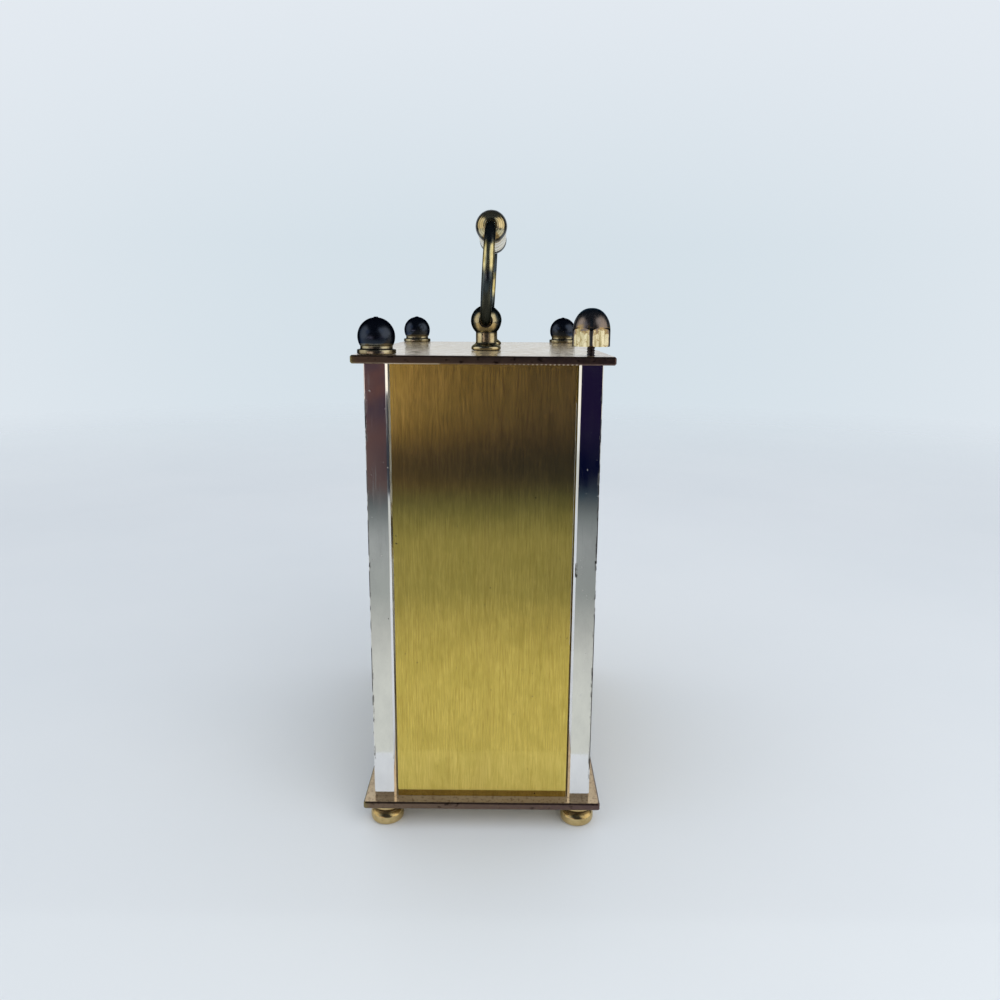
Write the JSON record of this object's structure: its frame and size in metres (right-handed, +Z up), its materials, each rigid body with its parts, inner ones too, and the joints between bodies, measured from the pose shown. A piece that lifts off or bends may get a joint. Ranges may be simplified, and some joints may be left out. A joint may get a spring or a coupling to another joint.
{
  "type": "desk clock",
  "caption": "Carriage-style desk clock with corner posts, brushed side panels, ball finials, a swinging bail handle, a glazed dial and a battery movement.",
  "frame": {"origin": "on the surface the clock stands on, under the middle of the case", "axes": "+Z up, +X to the clock's right as seen from the front, -Y towards the front (the dial), +Y towards the back"},
  "size_m": [0.0748, 0.0436, 0.112],
  "materials": {
    "plate_brass": "polished brass with a dark brown patina along its edges",
    "bright_post": "mirror-bright plating, flaking along the outer edge",
    "brushed_panel": "brushed, with a fine vertical grain under lacquer",
    "dark_brass": "aged, dark, polished on the high spots",
    "handle_brass": "aged and turned, with dark grooves",
    "frame_brass": "polished",
    "dark_steel": "dark threaded rod",
    "steel": "plain",
    "gear_brass": "machined",
    "glass": "clear",
    "dial_enamel": "satin cream with dark markings",
    "hand_black": "black lacquer",
    "black_plastic": "moulded, fine texture",
    "wheel_plastic": "moulded, natural",
    "battery_sleeve": "plain printed sleeve",
    "copper_wire": "enamelled copper wire",
    "board_green": "solder mask"
  },
  "bodies": {
    "case": {"base_plate": "plate_brass", "top_plate": "plate_brass", "post_front_right": "bright_post", "post_front_left": "bright_post", "post_rear_right": "bright_post", "post_rear_left": "bright_post", "tie_rod_front_right": "dark_steel", "tie_rod_front_left": "dark_steel", "tie_rod_rear_right": "dark_steel", "tie_rod_rear_left": "dark_steel", "foot_front_right": "dark_brass", "foot_front_left": "dark_brass", "foot_rear_right": "dark_brass", "foot_rear_left": "dark_brass", "finial_front_right": "dark_brass", "finial_front_left": "dark_brass", "finial_rear_left": "dark_brass", "cap_nut_rear_right": "dark_brass", "side_panel_right": "brushed_panel", "side_panel_left": "brushed_panel", "handle_post_right": "handle_brass", "handle_post_left": "handle_brass", "handle_nut_right": "handle_brass", "handle_nut_left": "handle_brass", "front_frame": "frame_brass", "front_glass": "glass", "dial": "dial_enamel", "back_panel": "frame_brass", "movement_tray": "black_plastic", "movement_cover": "black_plastic", "train_bridge": "wheel_plastic", "dial_washer": "steel", "dial_nut": "gear_brass", "battery_contact_positive": "steel", "battery_contact_negative": "steel", "stator": "steel", "coil_core": "steel", "coil_bobbin": "wheel_plastic", "coil_winding": "copper_wire", "circuit_board": "board_green", "quartz_crystal": "steel"},
    "handle": {"handle_grip": "handle_brass", "handle_arm_right": "handle_brass", "handle_arm_left": "handle_brass"},
    "minute_arbor": {"cannon_pinion": "gear_brass", "minute_hand": "hand_black", "minute_hand_nut": "gear_brass"},
    "motion_work": {"motion_wheel": "wheel_plastic"},
    "hour_tube": {"hour_wheel": "wheel_plastic", "hour_hand": "hand_black"},
    "knob": {"set_knob": "black_plastic"},
    "intermediate": {"intermediate_wheel": "wheel_plastic"},
    "motor_rotor": {"rotor": "steel"},
    "seconds": {"seconds_wheel": "wheel_plastic"},
    "third": {"third_wheel": "wheel_plastic"},
    "centre": {"centre_wheel": "gear_brass"},
    "cell": {"battery": "battery_sleeve"}
  },
  "joints": [
    {"name": "handle_swing", "type": "hinge", "parent": "case", "child": "handle", "pos_m": [0, 0, 0.0921], "axis": [1, 0, 0], "range_deg": [-94, 100]},
    {"name": "minute_turn", "type": "hinge", "parent": "case", "child": "minute_arbor", "pos_m": [0, 0, 0.0473], "axis": [0, 1, 0], "continuous": true},
    {"name": "motion_turn", "type": "hinge", "parent": "case", "child": "motion_work", "pos_m": [0.00752, 0, 0.04456], "axis": [0, 1, 0], "continuous": true},
    {"name": "hour_turn", "type": "hinge", "parent": "case", "child": "hour_tube", "pos_m": [0, 0, 0.0473], "axis": [0, 1, 0], "continuous": true},
    {"name": "knob_turn", "type": "hinge", "parent": "case", "child": "knob", "pos_m": [0.01504, 0, 0.0473], "axis": [0, 1, 0], "continuous": true},
    {"name": "intermediate_turn", "type": "hinge", "parent": "case", "child": "intermediate", "pos_m": [0.00525, 0, 0.05639], "axis": [0, 1, 0], "continuous": true},
    {"name": "rotor_turn", "type": "hinge", "parent": "case", "child": "motor_rotor", "pos_m": [-0.00221, 0, 0.06335], "axis": [0, 1, 0], "continuous": true},
    {"name": "seconds_turn", "type": "hinge", "parent": "case", "child": "seconds", "pos_m": [0, 0, 0.0473], "axis": [0, 1, 0], "continuous": true},
    {"name": "third_turn", "type": "hinge", "parent": "case", "child": "third", "pos_m": [-0.00885, 0, 0.05349], "axis": [0, 1, 0], "continuous": true},
    {"name": "centre_turn", "type": "hinge", "parent": "case", "child": "centre", "pos_m": [0, 0, 0.0473], "axis": [0, 1, 0], "continuous": true},
    {"name": "battery_out", "type": "slide", "parent": "case", "child": "cell", "axis": [0, 1, 0], "range_m": [0, 0.03]}
  ],
  "couplings": [
    {"joint": "motion_turn", "follows": "minute_turn", "ratio": -0.33333},
    {"joint": "hour_turn", "follows": "minute_turn", "ratio": 0.083333},
    {"joint": "knob_turn", "follows": "minute_turn", "ratio": 1},
    {"joint": "rotor_turn", "follows": "intermediate_turn", "ratio": -7.5},
    {"joint": "seconds_turn", "follows": "intermediate_turn", "ratio": -0.25},
    {"joint": "third_turn", "follows": "intermediate_turn", "ratio": 0.033333},
    {"joint": "centre_turn", "follows": "intermediate_turn", "ratio": -0.0041667}
  ]
}
